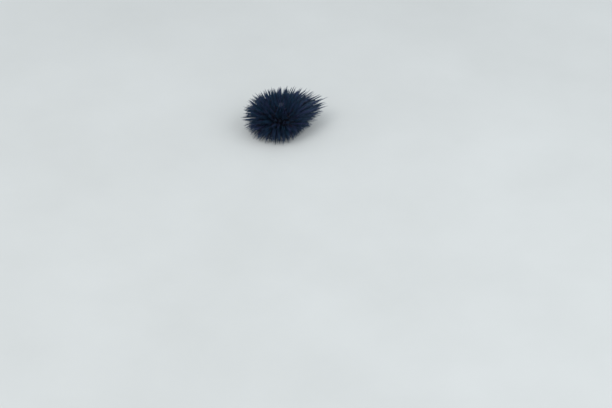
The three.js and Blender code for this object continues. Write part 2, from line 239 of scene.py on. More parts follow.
class Forest:
    """The straight spines placed so far, as arrays that a new one is tested against."""

    def __init__(self):
        self.roots = np.zeros((0, 3))
        self.ways = np.zeros((0, 3))
        self.lengths = np.zeros(0)
        self.radii = np.zeros(0)
        self.kinds = []

    def clearance(self, root, way, length, radius):
        """Distance from a new spine's surface to each other's, at their nearest and at their waists."""
        between = root - self.roots
        along = self.ways @ way
        da = between @ way
        db = np.einsum("ij,ij->i", between, self.ways)
        s = np.clip((along * db - da) / np.maximum(1 - along**2, 1e-9), 0, length)
        t = np.clip(along * s + db, 0, self.lengths)
        own_waist = np.full(len(self.lengths), WAIST * length)
        their_waist = WAIST * self.lengths
        pairs = [
            (np.clip(along * t - da, 0, length), t),
            (own_waist, np.clip(along * own_waist + db, 0, self.lengths)),
            (np.clip(along * their_waist - da, 0, length), their_waist),
        ]
        gaps = []
        for s, t in pairs:
            apart = np.linalg.norm(between + np.outer(s, way) - t[:, None] * self.ways, axis=1)
            gaps.append(apart - radius * taper(s / length) - self.radii * taper(t / self.lengths))
        return np.minimum.reduce(gaps)

    def nearest_root(self, root):
        return np.linalg.norm(self.roots - root, axis=1).min() if len(self.roots) else FAR_AWAY

    def add(self, root, way, length, radius, kind):
        self.roots = np.vstack([self.roots, root])
        self.ways = np.vstack([self.ways, way])
        self.lengths = np.append(self.lengths, length)
        self.radii = np.append(self.radii, radius)
        self.kinds.append(kind)

    def of_kind(self, kind):
        return np.array([k == kind for k in self.kinds])

    def tuft_way(self, root):
        """Direction from a root towards a point beyond the tip of the nearest long spine."""
        own = np.linalg.norm(self.roots - root, axis=1) + FAR_AWAY * ~self.of_kind("primary")
        nearest = int(np.argmin(own))
        return unit(self.roots[nearest] + self.ways[nearest] * self.lengths[nearest] * TUFT_POINT - root)


def lean_spine(size, polar, azimuth):
    """Root, direction and length of one spine at a place, with the pose's lean and a random tilt."""
    share = draw(*size["share"])
    scatter = size["scatter"]
    root, normal, sideways, downhill = shell_place(polar, azimuth)
    lean = tan(radians(draw(-scatter, scatter)))
    drop = tan(radians(draw(-scatter, scatter)))
    pull = FAN_GATHER * fan(polar, azimuth)
    way = normal * (1 - pull) + FAN_WAY * pull
    way = unit(way + sideways * lean + downhill * drop)
    length = float(full_length(polar, azimuth)) * share
    if polar > STANDING_POLAR:
        tilt = radians(STANDING_LEAN + draw(-scatter, scatter) / 2)
        radial = radial_at(azimuth)
        way = unit(radial * tan(tilt) + sideways * lean / 2 - (0, 0, 1))
    return root, way, length


def base_radius(size, length):
    """Radius at the base of a spine, less on a short one."""
    return size["radius"] * min(SHORT_RADIUS + LENGTH_RADIUS * length / size["full"], 1.0)


def keep_off_floor(root, way, length):
    """Turns a spine up just enough for its tip to stay clear of the floor."""
    lowest = (FLOOR_CLEARANCE - root[2]) / length
    if way[2] < lowest:
        flat = hypot(way[0], way[1])
        kept = sqrt(max(1 - lowest * lowest, 0.0)) / flat
        way = np.array([way[0] * kept, way[1] * kept, lowest])
    return way


def even_rows(count, top_ring, bottom_ring, shift):
    """Polar angles evenly spaced down the shell between two ring radii."""
    upper = POLAR < 90
    allowed = np.where(upper, RING >= top_ring, RING >= bottom_ring)
    polar, run = POLAR[allowed], RUN[allowed]
    wanted = run[0] + (run[-1] - run[0]) * (np.arange(count) + 0.5 + shift) / count
    return np.interp(wanted, run, polar)


def sectors():
    """Kind and middle azimuth of each of the ten sectors."""
    for middle in RAY_MIDDLES:
        yield "ambulacrum", middle
        yield "interambulacrum", middle + RAY_TURN / 2


def plant_primary(forest, polar, azimuth):
    """One large spine at a place, tilted anew until it keeps clear of the others, or none."""
    size = KINDS["primary"]
    for _ in range(TRIES):
        root, way, length = lean_spine(size, polar, azimuth)
        if polar > STANDING_POLAR:
            length = root[2] / -way[2]
        else:
            way = keep_off_floor(root, way, length)
        radius = base_radius(size, length)
        gaps = forest.clearance(root, way, length, radius)
        if not len(gaps) or gaps.min() > size["gap"]:
            forest.add(root, way, length, radius, "primary")
            break


def plant_primaries(forest):
    """The large spines, in their columns down the shell. Those round the mouth stand on the floor."""
    top_ring, bottom_ring = DISC_RADIUS + ROW_MARGIN, PERISTOME_RADIUS + ROW_MARGIN
    for kind, middle in sectors():
        for column, offset in enumerate(PRIMARY_COLUMNS[kind]):
            shift = ROW_SHIFT if column % 2 else -ROW_SHIFT
            for polar in even_rows(PRIMARY_ROWS, top_ring, bottom_ring, shift):
                plant_primary(forest, polar, middle + offset)


def random_place():
    """An azimuth and polar angle spread evenly over the shell between the disc and the mouth."""
    while True:
        run = draw(RUN[0], RUN[-1])
        polar = float(np.interp(run, RUN, POLAR))
        ring = float(np.interp(run, RUN, RING))
        least = (DISC_RADIUS if polar < 90 else PERISTOME_RADIUS) + ROOT_MARGIN
        if ring > least and random.random() * SHELL_RADIUS < ring:
            return draw(0, 360), polar


def plant_smaller(forest, kind, polar, azimuth):
    """One smaller spine at a place, if there is room for it. Says whether there was."""
    size = KINDS[kind]
    if forest.nearest_root(shell_place(polar, azimuth)[0]) < size["spacing"]:
        return False
    for _ in range(TRIES):
        root, way, length = lean_spine(size, polar, azimuth)
        if kind == "secondary" and polar < STANDING_POLAR:
            way = unit(way * (1 - TUFTING) + forest.tuft_way(root) * TUFTING)
        if polar > STANDING_POLAR:
            length = min(length, (root[2] - FLOOR_CLEARANCE) / -way[2])
        way = keep_off_floor(root, way, length)
        radius = base_radius(size, length) * draw(*RADIUS_SPREAD)
        if forest.clearance(root, way, length, radius).min() > size["gap"]:
            forest.add(root, way, length, radius, kind)
            return True
    return False


def plant_between(forest, kind):
    """Smaller spines of one kind, spread over the shell wherever there is room between the others."""
    planted = 0
    for _ in range(PLACES_PER_SPINE * KINDS[kind]["count"]):
        azimuth, polar = random_place()
        planted += plant_smaller(forest, kind, polar, azimuth)
        if planted == KINDS[kind]["count"]:
            break


def frames_along(centres):
    """Two directions square to each point of many centre lines."""
    tangents = unit(np.gradient(centres, axis=1))
    helper = np.where(np.abs(tangents[:, :1, 2:]) > 0.9, (1.0, 0.0, 0.0), (0.0, 0.0, 1.0))
    first = unit(np.cross(np.broadcast_to(helper, tangents.shape), tangents))
    return first, np.cross(tangents, first)


def steps_round(count):
    return np.arange(count) * 2 * np.pi / count


def tube_faces(rings, sides, closed=False):
    """Quads round a tube made of rings of points, and the triangles that close its ends.

    The middles of its ends are the two points after the rings. A closed tube joins its last ring to
    its first instead.
    """
    side = np.arange(sides)
    after = (side + 1) % sides
    last = rings if closed else rings - 1
    ring = np.arange(last)[:, None] * sides
    above = (np.arange(1, last + 1) % rings)[:, None] * sides
    quads = np.stack([ring + side, ring + after, above + after, above + side], axis=-1).reshape(-1, 4)
    if closed:
        return quads, np.zeros((0, 3), int)
    end = last * sides
    foot = np.stack([np.full(sides, rings * sides), after, side], axis=-1)
    tip = np.stack([np.full(sides, rings * sides + 1), end + side, end + after], axis=-1)
    return quads, np.concatenate([foot, tip])


def swept(centres, radii, sides, spin, rib=0.0):
    """Closed tubes along many centre lines: their points, quads, triangles and points per tube."""
    count, rings = radii.shape
    first, second = frames_along(centres)
    angle = spin[:, None] + steps_round(sides)
    wide = radii[:, :, None] * (1 - rib * (np.arange(sides) % 2))
    first_part = np.cos(angle)[:, None, :, None] * first[:, :, None]
    across = first_part + np.sin(angle)[:, None, :, None] * second[:, :, None]
    body = centres[:, :, None] + wide[..., None] * across
    points = np.concatenate([body.reshape(count, -1, 3), centres[:, :1], centres[:, -1:]], axis=1)
    stride = rings * sides + 2
    quads, tris = tube_faces(rings, sides)
    shift = np.arange(count)[:, None, None] * stride
    return points.reshape(-1, 3), (quads + shift).reshape(-1, 4), (tris + shift).reshape(-1, 3), stride


def shell_map(roots):
    """Place of points on an unwrap of the shell, the apex in the middle and the mouth at the rim."""
    ring = np.hypot(roots[:, 0], roots[:, 1])
    upper = roots[:, 2] >= AMBITUS_Z - 0.01
    far = np.where(upper, run_above(ring), run_below(ring)) / RUN[-1] * MAP_REACH
    round_axis = np.arctan2(roots[:, 1], roots[:, 0])
    return np.stack([0.5 + far * np.cos(round_axis), 0.5 + far * np.sin(round_axis)], axis=-1)


def tuft_map(roots, rings, sides):
    """A small round patch for each tube at its root's place on the unwrapped shell, its tip in the middle."""
    middle = shell_map(roots)
    turn = steps_round(sides)
    size = PATCH / 2 * np.linspace(1, 0.1, rings)
    patch = size[:, None, None] * np.stack([np.cos(turn), np.sin(turn)], axis=-1)
    body = middle[:, None, None] + patch
    foot = middle[:, None] + (PATCH / 2, 0.0)
    flat = [body.reshape(len(roots), -1, 2), foot, middle[:, None]]
    return np.concatenate(flat, axis=1).reshape(-1, 2)


AXIS = sum(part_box("periproct"), Vector()) / 2


def new_object(name, data):
    made = bpy.data.objects.new(name, data)
    bpy.context.scene.collection.objects.link(made)
    return made


def mesh_object(name, points, quads, tris, material, slot):
    """A mesh from points in millimetres from the shell's axis, riding on the body."""
    points = np.asarray(points) * MM + (AXIS.x, AXIS.y, 0.0)
    quads = np.asarray(quads, np.int32).reshape(-1, 4)
    tris = np.asarray(tris, np.int32).reshape(-1, 3)
    corners = np.concatenate([quads.ravel(), tris.ravel()])
    starts = np.concatenate([np.arange(len(quads)) * 4, len(quads) * 4 + np.arange(len(tris)) * 3])
    mesh = bpy.data.meshes.new(name)
    mesh.vertices.add(len(points))
    mesh.vertices.foreach_set("co", points.ravel())
    mesh.loops.add(len(corners))
    mesh.loops.foreach_set("vertex_index", corners)
    mesh.polygons.add(len(starts))
    mesh.polygons.foreach_set("loop_start", starts.astype(np.int32))
    mesh.polygons.foreach_set("use_smooth", np.full(len(starts), True))
    mesh.update(calc_edges=True)
    mesh.validate()
    mesh.materials.append(material)
    piece = new_object(name, mesh)
    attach(piece, "root")
    return piece


def add_map(piece, per_point):
    """Writes the map named OFBake from one place per point."""
    mesh = piece.data
    corner = np.zeros(len(mesh.loops), np.int32)
    mesh.loops.foreach_get("vertex_index", corner)
    layer = mesh.uv_layers.new(name="OFBake")
    layer.data.foreach_set("uv", per_point[corner].astype(np.float32).ravel())


def add_values(piece, name, per_point):
    """A number per point for the material to read, such as how far along its spine the point is."""
    layer = piece.data.attributes.new(name, "FLOAT", "POINT")
    layer.data.foreach_set("value", np.asarray(per_point, np.float32))


def straight_lines(roots, ways, lengths, stations):
    """Points along straight spines, from a little under their roots to their tips."""
    start = roots - ways * SPINE_SINK
    full = (lengths + SPINE_SINK)[:, None, None]
    return start[:, None] + ways[:, None] * full * stations[None, :, None]


def tubes_piece(name, roots, centres, radii, sides, rib, material, values=()):
    """One joined mesh of many tubes, each with its own tint and its own patch on the map."""
    spin = draw(0, 2 * np.pi, len(roots))
    points, quads, tris, stride = swept(centres, radii, sides, spin, rib)
    points[:, 2] = np.maximum(points[:, 2], 0.0)
    piece = mesh_object(name, points, quads, tris, material, "spiny_shell")
    add_map(piece, tuft_map(roots, radii.shape[1], sides))
    for kind, per_tube_point in values:
        add_values(piece, kind, np.tile(per_tube_point, len(roots)))
    add_values(piece, "tint", np.repeat(random.random(len(roots)), stride))


def spine_piece(name, forest, chosen, profile, sides, rib, material):
    """Many spines as one piece, whose material reads how far along each point is and whether it lies in a
    groove between the ribs, where shade is painted in.
    """
    roots = forest.roots[chosen]
    base = forest.radii[chosen][:, None]
    stations, shares = np.array(profile).T
    centres = straight_lines(roots, forest.ways[chosen], forest.lengths[chosen], stations)
    wide = base * shares
    standing = (centres[:, -1, 2] < STANDING_TIP) & (roots[:, 2] < STANDING_ROOT)
    wide[standing] = np.maximum(wide[standing], base[standing] * STANDING_POINT)
    along = np.concatenate([np.repeat(stations, sides), [0, 1]])
    # Marks the grooves between the ribs, for the painted shade there and the painted light on the ridges
    painted_shade_furrows = np.concatenate([np.tile(np.arange(sides) % 2, len(stations)), [0.5, 0.5]])
    values = (("along", along), ("painted_furrow_shade", painted_shade_furrows))
    tubes_piece(name, roots, centres, wide, sides, rib, material, values)


def flat_points(rings, azimuths):
    a = np.radians(azimuths)
    return np.stack([rings * np.cos(a), rings * np.sin(a)], axis=-1)


def round_points(rings, azimuths, heights):
    return np.concatenate([flat_points(rings, azimuths), heights[..., None]], axis=-1).reshape(-1, 3)


def all_round(column, count):
    """The same column of numbers at each of so many azimuths."""
    return np.repeat(column[:, None], count, axis=1)


def round_grid(start, end, rows, columns):
    """Azimuths all round, rings from one radius to another, and their points on a plane."""
    azimuths = np.arange(columns) * 360 / columns
    grid = all_round(np.linspace(start, end, rows), columns)
    return azimuths, grid, flat_points(grid, azimuths)


def revolved(rings, heights, azimuths, closed):
    """A surface round the axis from a profile per azimuth, running outward from below to above.

    A closed profile joins its end to its start; an open one is closed on the axis at both ends.
    """
    points = round_points(rings, azimuths, heights)
    quads, tris = tube_faces(*rings.shape, closed)
    if not closed:
        ends = np.array([[0, 0, heights[0].mean()], [0, 0, heights[-1].mean()]])
        points = np.concatenate([points, ends])
    return points, quads, tris


def groove(distance, depth, width):
    return depth * np.exp(-((distance / width) ** 2))


def rise(x):
    """A smooth step from 0 to 1."""
    x = np.clip(x, 0, 1)
    return x * x * (3 - 2 * x)


def step(distance, height, width):
    return height * rise(distance / width)


def knob(distance, height, reach):
    return height * rise(1 - distance / reach)


def zigzag(x):
    return 2 * np.abs(x % 1 * 2 - 1) - 1


# Relief of the skin: depth and width of the seams, height and reach of the bosses
SKIN_COLUMNS = 432
SKIN_ROWS = 156
SKIN_INSET = 0.12
SUTURE = (0.16, 0.26)
AMBULACRAL_PLATE = 2.3
INTERAMBULACRAL_PLATE = 3.3
SUTURE_ZIGZAG = 0.22
EDGE_FADE = 1.2
SEAMS_BELOW = 0.05
SEAT_SHARE = 0.4
SEAT_STEP = 0.1
LOW_SEAT = SHELL_LIFT + 4
TOP_SEAT = APEX_Z - 3
BOSSES = {"primary": (0.5, 1.5), "secondary": (0.3, 0.95), "miliary": (0.12, 0.45)}


def suture_distance(azimuth, run, ring):
    """Distance along the shell to the nearest seam between two of its plates."""
    turn = (azimuth - FIRST_RAY + RAY_TURN / 2) % RAY_TURN - RAY_TURN / 2
    half = AMBULACRUM_WIDTH / 2
    to_border = ring * np.radians(np.abs(np.abs(turn) - half))
    in_ambulacrum = np.abs(turn) < half
    across = np.where(in_ambulacrum, turn, RAY_TURN / 2 - np.abs(turn))
    across = ring * np.radians(np.where(in_ambulacrum, across, across * np.sign(turn)))
    plate = np.where(in_ambulacrum, AMBULACRAL_PLATE, INTERAMBULACRAL_PLATE)
    to_middle = np.abs(across - SUTURE_ZIGZAG * plate * zigzag(run / plate))
    level = run / plate + np.where(across > 0, 0.5, 0)
    to_level = np.abs(level - np.round(level)) * plate
    return np.minimum(np.minimum(to_border, to_middle), to_level)


def boss_height(points, forest):
    """Height of the knobs that the spines stand on, over each point of the skin."""
    height = np.zeros(len(points))
    for kind, size in BOSSES.items():
        roots = forest.roots[forest.of_kind(kind)]
        tree = kdtree.KDTree(len(roots))
        for index, root in enumerate(roots):
            tree.insert(root, index)
        tree.balance()
        away = np.array([tree.find(point)[2] for point in points])
        height = np.maximum(height, knob(away, *size))
    return height


def skin_piece(forest, material):
    """One skin over the whole shell, turned in at the seats of the apical disc and the mouth."""
    azimuths = np.arange(SKIN_COLUMNS) * 360 / SKIN_COLUMNS
    top_ring = DISC_RADIUS + SEAM_GAP
    bottom_ring = PERISTOME_RADIUS + PART_GAP
    top, bottom = run_above(top_ring), run_below(bottom_ring)
    run = np.linspace(bottom, top, SKIN_ROWS)
    polar = np.interp(run, RUN, POLAR)
    ring, height = shell_point(polar)
    out, up = shell_normal(polar)
    ring_grid, run_grid = all_round(ring, SKIN_COLUMNS), all_round(run, SKIN_COLUMNS)
    to_seam = suture_distance(azimuths[None, :], run_grid, ring_grid)
    plain = round_points(ring_grid, azimuths, all_round(height, SKIN_COLUMNS))
    bosses = boss_height(plain, forest).reshape(run_grid.shape)
    edge = rise(np.minimum(run_grid - top, bottom - run_grid) / EDGE_FADE)
    lift = (bosses - groove(to_seam, *SUTURE) * (bosses < SEAMS_BELOW)) * edge - SKIN_INSET
    rings = ring_grid + lift * out[:, None]
    heights = height[:, None] + lift * up[:, None]
    low_turn = (SEAT_SHARE * bottom_ring, bottom_ring - SEAT_STEP)
    top_turn = (top_ring - SEAT_STEP, SEAT_SHARE * top_ring)
    widths = (*low_turn, *rings, *top_turn)
    levels = (LOW_SEAT, LOW_SEAT, *heights, TOP_SEAT, TOP_SEAT)
    rows = [np.stack([np.broadcast_to(row, SKIN_COLUMNS) for row in part]) for part in (widths, levels)]
    points, quads, tris = revolved(*rows, azimuths, closed=False)
    piece = mesh_object("skin", points, quads, tris, material, "spiny_shell")
    add_map(piece, shell_map(points))
    return piece


# Radius of a muscle collar up its height, as shares of its spine's radius
COLLAR_PROFILE = ((0.0, 2.0), (0.38, 1.75), (0.62, 1.34), (0.93, 1.16), (1.0, 0.8))
COLLAR_HEIGHT = 2.3
COLLAR_SIDES = 10
COLLAR_FOLD = 0.1


def collar_piece(forest, material):
    """The muscle collar that wraps each larger spine's joint, a low pleated cone."""
    chosen = forest.of_kind("primary") | forest.of_kind("secondary")
    roots, ways, radii = forest.roots[chosen], forest.ways[chosen], forest.radii[chosen]
    stations, shares = np.array(COLLAR_PROFILE).T
    centres = straight_lines(roots, ways, radii * COLLAR_HEIGHT, stations)
    wide = radii[:, None] * shares
    tubes_piece("spine_collars", roots, centres, wide, COLLAR_SIDES, COLLAR_FOLD, material)


# Tube feet: rows down both sides of each ambulacrum, thin, wavy and ending in a sucker
FOOT_ROWS = 19
FOOT_OFFSETS = (-13.2, -11.2, 11.2, 13.2)
FOOT_STATIONS = np.array([0, 0.1, 0.22, 0.34, 0.46, 0.58, 0.7, 0.82, 0.92, 0.955, 0.965, 0.985, 1.0])
FOOT_RADII = np.array([0.3, 0.26, 0.23, 0.21, 0.2, 0.19, 0.19, 0.19, 0.2, 0.24, 0.42, 0.44, 0.3])
FOOT_SIDES = 9
FOOT_SPREAD = (0.85, 1.1)
FOOT_SHIFT = 0.3
FOOT_WANDER = 0.6
FOOT_TOP_RING = 8.0
FOOT_MARGIN = 1.2
FOOT_SHARE = (0.3, 0.66)
FOOT_LEAN = (-0.35, 0.35)
FOOT_DROOP = (-0.1, 0.4)
FOOT_WAVE = (-0.09, 0.09)
FOOT_TURNS = (2.5, 5.0)
FOOT_SINK = 0.3
FOOT_LOWEST = 1.2
FOOT_LINE_LOWEST = 0.9


def foot_line(polar, azimuth):
    """Root and wavy centre line of one tube foot."""
    root, normal, sideways, downhill = shell_place(polar, azimuth)
    full = float(full_length(polar, azimuth))
    length = full * draw(*FOOT_SHARE)
    lean = draw(*FOOT_LEAN) * sideways + draw(*FOOT_DROOP) * downhill
    way = unit(normal + lean)
    if way[2] < 0:
        length = min(length, (root[2] - FOOT_LOWEST) / -way[2])
    wave = draw(*FOOT_WAVE) * sideways + draw(*FOOT_WAVE) * downhill
    t = FOOT_STATIONS[:, None]
    turn = draw(*FOOT_TURNS)
    line = root - FOOT_SINK * normal + length * (t * way + np.sin(turn * t) * t * wave)
    line[:, 2] = np.maximum(line[:, 2], FOOT_LINE_LOWEST)
    return root, line


def foot_lines():
    feet = []
    for middle in RAY_MIDDLES:
        for offset in FOOT_OFFSETS:
            shift = draw(-FOOT_SHIFT, FOOT_SHIFT)
            for polar in even_rows(FOOT_ROWS, FOOT_TOP_RING, PERISTOME_RADIUS + FOOT_MARGIN, shift):
                azimuth = middle + offset + draw(-FOOT_WANDER, FOOT_WANDER)
                feet.append(foot_line(polar, azimuth))
    roots, lines = zip(*feet)
    return np.array(roots), np.array(lines)


def tube_feet_piece(material):
    roots, lines = foot_lines()
    radii = FOOT_RADII * draw(*FOOT_SPREAD, (len(roots), 1))
    tubes_piece("tube_feet", roots, lines, radii, FOOT_SIDES, 0.0, material)


# Pedicellariae: tiny stalked pincers between the spines
PINCERS = 260
PINCER_STATIONS = np.array([0, 0.3, 0.62, 0.72, 0.78, 0.86, 0.93, 0.98, 1.0])
PINCER_RADII = np.array([0.1, 0.08, 0.08, 0.1, 0.2, 0.27, 0.22, 0.12, 0.04])
PINCER_LENGTHS = (1.6, 3.2)
PINCER_LEAN = (-0.4, 0.4)
PINCER_ROOM = 0.7
PINCER_LOWEST = SHELL_LIFT + 2
PINCER_SIDES = 6
PINCER_RIB = 0.25


def pincer_piece(forest, material):
    roots, ways, lengths = [], [], []
    while len(roots) < PINCERS:
        azimuth, polar = random_place()
        root, normal, sideways, downhill = shell_place(polar, azimuth)
        if forest.nearest_root(root) < PINCER_ROOM or root[2] < PINCER_LOWEST:
            continue
        roots.append(root)
        lean = draw(*PINCER_LEAN) * sideways + draw(*PINCER_LEAN) * downhill
        ways.append(unit(normal + lean))
        lengths.append(draw(*PINCER_LENGTHS))
    roots, ways, lengths = np.array(roots), np.array(ways), np.array(lengths)
    centres = straight_lines(roots, ways, lengths, PINCER_STATIONS)
    radii = np.repeat(PINCER_RADII[None], len(roots), axis=0)
    tubes_piece("pedicellariae", roots, centres, radii, PINCER_SIDES, PINCER_RIB, material)


# Apical disc. A grid is rows and columns
DISC_GRID = (40, 300)
GENITAL_RING = 3.85
GENITAL_REACH = 1.4
OCULAR_RING = 4.55
OCULAR_REACH = 0.75
MADREPORITE_EXTRA = 0.22
GONOPORE_RING = 4.55
DISC_KNOBS = 150
SIEVE_DEPTH = 0.05
SIEVE_GRAIN = 19
LIFT_FADE = 0.25
DISC_BOTTOM = APEX_Z - 2.6

# Height and width of each form on the disc
PLATE_EDGE = (0.34, 0.2)
GONOPORE = (0.4, 0.2)
PLATE_KNOB = (0.12, 0.24)
OUTER_RIM = (0.45, 0.5)
INNER_RIM = (0.12, 0.4)

# What stands on the disc: ring, length as a scale and its spread, and share of the kind's radius
DISC_COAT = {
    "secondary": {"ring": (3.9, 4.5), "length": 7.0, "share": (0.8, 1.15), "radius": 0.85},
    "miliary": {"ring": (3.1, 5.0), "length": 1.0, "share": (1.8, 3.0), "radius": 1.0},
}
DISC_SPINES = 15
DISC_STUBBLE = 46
DISC_WANDER = 6
DISC_LEAN = 0.45
DISC_SCATTER = 0.08
DISC_GAP = 0.02
DISC_SINK = 0.1


def to_nearest(points, spots):
    """Distance from each point on a plane to the nearest of some spots."""
    return np.linalg.norm(points[..., None, :] - spots, axis=-1).min(axis=-1)


def cell_edges(points, seeds, reaches=0.0):
    """For each point: the index of its cell and the distance to the edge between it and the next."""
    away = np.linalg.norm(points[..., None, :] - seeds, axis=-1) - reaches
    order = np.argsort(away, axis=-1)
    nearest = np.take_along_axis(away, order[..., :2], axis=-1)
    return order[..., 0], (nearest[..., 1] - nearest[..., 0]) / 2


def disc_seeds():
    """Middles and reaches of the five large plates, the first with the sieve, and the five small."""
    genital = flat_points(GENITAL_RING, BETWEEN_RAYS)
    ocular = flat_points(OCULAR_RING, RAY_MIDDLES)
    reaches = np.concatenate([np.full(RAYS, GENITAL_REACH), np.full(RAYS, OCULAR_REACH)])
    reaches[0] += MADREPORITE_EXTRA
    return np.concatenate([genital, ocular]), reaches


def disc_piece(material):
    """The ring of ten plates round the periproct, one of them the porous madreporite."""
    inner, outer = PERIPROCT_RADIUS + PART_GAP, DISC_RADIUS
    azimuths, grid, flat = round_grid(outer, inner, *DISC_GRID)
    cell, edge = cell_edges(flat, *disc_seeds())
    lift = step(edge, *PLATE_EDGE)
    lift -= groove(to_nearest(flat, flat_points(GONOPORE_RING, BETWEEN_RAYS)), *GONOPORE)
    knobs = draw(-outer, outer, (DISC_KNOBS, 2))
    lift += knob(to_nearest(flat, knobs), *PLATE_KNOB) * (cell > 0)
    sieve = np.sin(flat[..., 0] * SIEVE_GRAIN) * np.sin(flat[..., 1] * SIEVE_GRAIN) + 1.5
    lift += SIEVE_DEPTH * (cell == 0) * sieve
    rounded = step(outer - grid, *OUTER_RIM) + step(grid - inner, *INNER_RIM)
    top = APEX_Z - OUTER_RIM[0] + rounded + lift * rise((outer - grid) / LIFT_FADE)
    low = np.full((1, len(azimuths)), DISC_BOTTOM)
    rings = np.concatenate([np.full_like(low, inner), np.full_like(low, outer), grid])
    faces = revolved(rings, np.concatenate([low, low, top]), azimuths, closed=True)
    return mesh_object("apical_plates", *faces, material, "apical_plates")


def plant_upright(forest, kind, azimuth):
    """One spine on the apical plates, nearly upright, if there is room for it."""
    size = DISC_COAT[kind]
    radial = radial_at(azimuth)
    root = radial * draw(*size["ring"]) + (0, 0, APEX_Z - DISC_SINK)
    lean = radial * draw(0.0, DISC_LEAN)
    way = unit(lean + random.normal(0, DISC_SCATTER, 3) + (0, 0, 1))
    length = size["length"] * draw(*size["share"])
    radius = KINDS[kind]["radius"] * size["radius"]
    if forest.clearance(root, way, length, radius).min() > DISC_GAP:
        forest.add(root, way, length, radius, kind)


def plant_on_disc(forest):
    """The few small spines and the stubble that stand on the apical plates."""
    for index in range(DISC_SPINES):
        turn = draw(-DISC_WANDER, DISC_WANDER)
        plant_upright(forest, "secondary", index * 360 / DISC_SPINES + turn)
    for _ in range(DISC_STUBBLE):
        plant_upright(forest, "miliary", draw(0, 360))


# Periproct, with the height and width of each form
VENT_GRID = (48, 180)
VENT_MIDDLE = 0.04
VENT_PLATES = 34
VENT_PLACE = (0.35, -0.25)
VENT_LIP_RING = 0.42
VENT_LIP = (0.3, 0.2)
VENT = (0.35, 0.26)
VENT_RIM_DROP = 0.5
VENT_CROWN = (0.85, 1.9)
SMALL_PLATE = (0.16, 0.13)
GOLDEN_TURN = 137.5
GOLDEN_WANDER = 9


def scattered(count, radius):
    """Points spread evenly over a disc, a little disturbed."""
    index = np.arange(count) + 0.5
    ring = radius * np.sqrt(index / count)
    azimuth = index * GOLDEN_TURN + draw(-GOLDEN_WANDER, GOLDEN_WANDER, count)
    return flat_points(ring, azimuth)


def periproct_piece(material):
    """The soft field of small plates round the anus."""
    edge_ring = PERIPROCT_RADIUS + PART_GAP - SEAM_GAP
    azimuths, grid, flat = round_grid(edge_ring, VENT_MIDDLE, *VENT_GRID)
    edge = cell_edges(flat, scattered(VENT_PLATES, edge_ring))[1]
    from_vent = np.linalg.norm(flat - VENT_PLACE, axis=-1)
    top = APEX_Z - VENT_RIM_DROP + step(edge_ring - grid, *VENT_CROWN)
    top += step(edge, *SMALL_PLATE)
    top += groove(from_vent - VENT_LIP_RING, *VENT_LIP) - groove(from_vent, *VENT)
    under = np.full((1, len(azimuths)), edge_ring)
    rings = np.concatenate([under * 0.5, under, grid])
    heights = np.concatenate([np.full((2, len(azimuths)), DISC_BOTTOM), top])
    faces = revolved(rings, heights, azimuths, closed=False)
    return mesh_object("periproct_plates", *faces, material, "periproct_skin")


# Mouth
BUCCAL_RING = 4.7
BUCCAL_OFFSET = 12
BUCCAL_LENGTH = 3.6
BUCCAL_LEAN = 0.25
BUCCAL_WAVE = 0.3
BUCCAL_WIDTH = 1.5
BUD = (0.25, 0.9)
GILL_RING = 8.7
GILL_OFFSET = 17
GILL_FINGERS = 16
GILL_LENGTHS = (0.9, 1.9)
GILL_WIDTHS = (0.16, 0.24)
GILL_PROFILE = np.array([0.6, 0.9, 1.0, 1.05, 1.1, 1.1, 1.1, 1.1, 1.05, 1.0, 0.9, 0.6, 0.25])
MOUTH_FOOT_SIDES = 10
MEMBRANE_GRID = (60, 360)
MEMBRANE_LEVELS = (MOUTH_LOW + 0.3, MOUTH_LOW - 0.05, MOUTH_LOW + 0.9)
MEMBRANE_TOP = SHELL_LIFT + 3.6
MEMBRANE_PLATES = 170
MEMBRANE_PLATE = (0.12, 0.15)
FOLDS = 40
FOLD_DEPTH = 0.1
LIP_FOLDS = 30
LIP_COLUMNS = 200
LIP_PROFILE = (
    (0.5, 8.3), (1.1, 7.95), (1.7, 7.55), (2.2, 7.32), (2.6, 7.34),
    (2.9, 7.55), (3.05, 7.9), (3.1, 8.3), (3.1, 10.1), (1.0, 10.1),
)


def membrane_piece(material):
    """The soft membrane round the lantern, with radial folds and small plates set in it."""
    inner, outer = LANTERN_RADIUS + PART_GAP, PERISTOME_RADIUS
    azimuths, grid, flat = round_grid(inner, outer, *MEMBRANE_GRID)
    sag = np.interp(grid, (inner, (inner + outer) / 2, outer), MEMBRANE_LEVELS)
    edge = cell_edges(flat, scattered(MEMBRANE_PLATES, outer))[1]
    wave = np.sin(np.radians(azimuths) * FOLDS + 2 * np.sin(grid))
    folds = FOLD_DEPTH * wave * rise((grid - inner) / 2)
    to_bud = to_nearest(flat, flat_points(BUCCAL_RING, buccal_azimuths()))
    low = sag + folds - step(edge, *MEMBRANE_PLATE) - knob(to_bud, *BUD)
    high = np.full((1, len(azimuths)), MEMBRANE_TOP)
    rings = np.concatenate([grid, np.full_like(high, outer), np.full_like(high, inner)])
    faces = revolved(rings, np.concatenate([low, high, high]), azimuths, closed=True)
    return mesh_object("mouth_membrane", *faces, material, "mouth_membrane")


def buccal_azimuths():
    return np.concatenate([RAY_MIDDLES - BUCCAL_OFFSET, RAY_MIDDLES + BUCCAL_OFFSET])


def buccal_foot(azimuth):
    radial = radial_at(azimuth)
    start = radial * BUCCAL_RING + (0, 0, MOUTH_LOW + 0.4)
    way = radial * BUCCAL_LEAN - (0, 0, 1)
    t = FOOT_STATIONS[:, None]
    return start + BUCCAL_LENGTH * t * way + BUCCAL_WAVE * np.sin(3 * t) * t * radial


